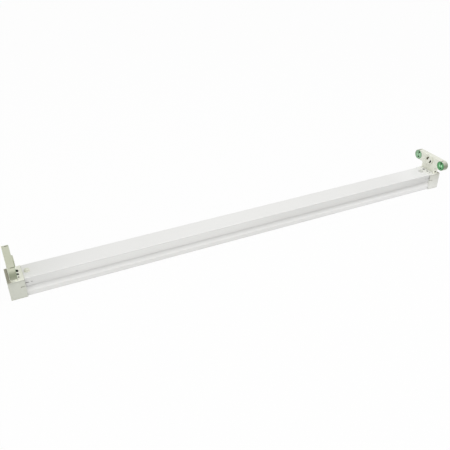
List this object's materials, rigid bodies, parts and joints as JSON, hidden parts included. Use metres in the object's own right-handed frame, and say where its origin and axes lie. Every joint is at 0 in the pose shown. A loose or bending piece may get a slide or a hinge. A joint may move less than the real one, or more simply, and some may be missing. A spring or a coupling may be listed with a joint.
{
  "type": "led tube light fixture",
  "caption": "Slim twin-tube ceiling batten: white sheet-steel channel with lift-off cover, cream end caps, T-shaped lamp holders with green turning cores and starter sockets.",
  "frame": {"origin": "centre of the mounting face, on the surface that the fixture is screwed to", "axes": "+X along the tubes, +Y across them, +Z away from the mounting surface towards the lamps"},
  "size_m": [1.2446, 0.121, 0.0961],
  "materials": {
    "white_paint": "satin powder coat",
    "cap_plastic": "moulded satin",
    "holder_plastic": "moulded satin",
    "rotor_green": "moulded gloss",
    "knob_plastic": "moulded satin",
    "contact_brass": "stamped",
    "screw_steel": "zinc plated",
    "tag_steel": "tinned",
    "wire_brown": "wire insulation",
    "wire_blue": "wire insulation",
    "wire_green": "wire insulation, green with a yellow stripe",
    "bush_rubber": "matt",
    "terminal_plastic": "natural nylon",
    "clip_nylon": "natural nylon"
  },
  "bodies": {
    "base": {"base_tray": "white_paint", "cable_bush": "bush_rubber", "end_cap_screws": "screw_steel", "knob_inserts": "contact_brass", "terminal_block": "terminal_plastic", "terminal_barrels": "contact_brass", "terminal_screws": "screw_steel", "terminal_block_screws": "screw_steel", "earth_tag": "tag_steel", "earth_screw": "screw_steel", "live_wire": "wire_brown", "neutral_wire": "wire_blue", "earth_wire": "wire_green", "wire_clips": "clip_nylon", "left_end_cap": "cap_plastic", "left_holder_shell": "holder_plastic", "left_holder_back": "holder_plastic", "left_holder_screws": "screw_steel", "left_lamp_contacts": "contact_brass", "left_starter_contacts": "contact_brass", "right_end_cap": "cap_plastic", "right_holder_shell": "holder_plastic", "right_holder_back": "holder_plastic", "right_holder_screws": "screw_steel", "right_lamp_contacts": "contact_brass", "right_starter_contacts": "contact_brass"},
    "cover": {"cover": "white_paint"},
    "left_knob": {"left_cover_knob": "knob_plastic", "left_knob_washer": "clip_nylon"},
    "right_knob": {"right_cover_knob": "knob_plastic", "right_knob_washer": "clip_nylon"},
    "left_front_core": {"left_front_rotor": "rotor_green"},
    "left_rear_core": {"left_rear_rotor": "rotor_green"},
    "right_front_core": {"right_front_rotor": "rotor_green"},
    "right_rear_core": {"right_rear_rotor": "rotor_green"}
  },
  "joints": [
    {"name": "cover_lift", "type": "slide", "parent": "base", "child": "cover", "axis": [0, 0, 1], "range_m": [0, 0.11]},
    {"name": "left_knob_turn", "type": "hinge", "parent": "cover", "child": "left_knob", "pos_m": [-0.5755, 0, 0.0484], "axis": [0, 0, 1], "continuous": true},
    {"name": "right_knob_turn", "type": "hinge", "parent": "cover", "child": "right_knob", "pos_m": [0.5755, 0, 0.0484], "axis": [0, 0, 1], "continuous": true},
    {"name": "left_front_core_turn", "type": "hinge", "parent": "base", "child": "left_front_core", "pos_m": [-0.6006, -0.046, 0.0816], "axis": [1, 0, 0], "range_deg": [-90, 90]},
    {"name": "left_rear_core_turn", "type": "hinge", "parent": "base", "child": "left_rear_core", "pos_m": [-0.6006, 0.046, 0.0816], "axis": [1, 0, 0], "range_deg": [-90, 90]},
    {"name": "right_front_core_turn", "type": "hinge", "parent": "base", "child": "right_front_core", "pos_m": [0.6006, -0.046, 0.0816], "axis": [1, 0, 0], "range_deg": [-90, 90]},
    {"name": "right_rear_core_turn", "type": "hinge", "parent": "base", "child": "right_rear_core", "pos_m": [0.6006, 0.046, 0.0816], "axis": [1, 0, 0], "range_deg": [-90, 90]}
  ]
}
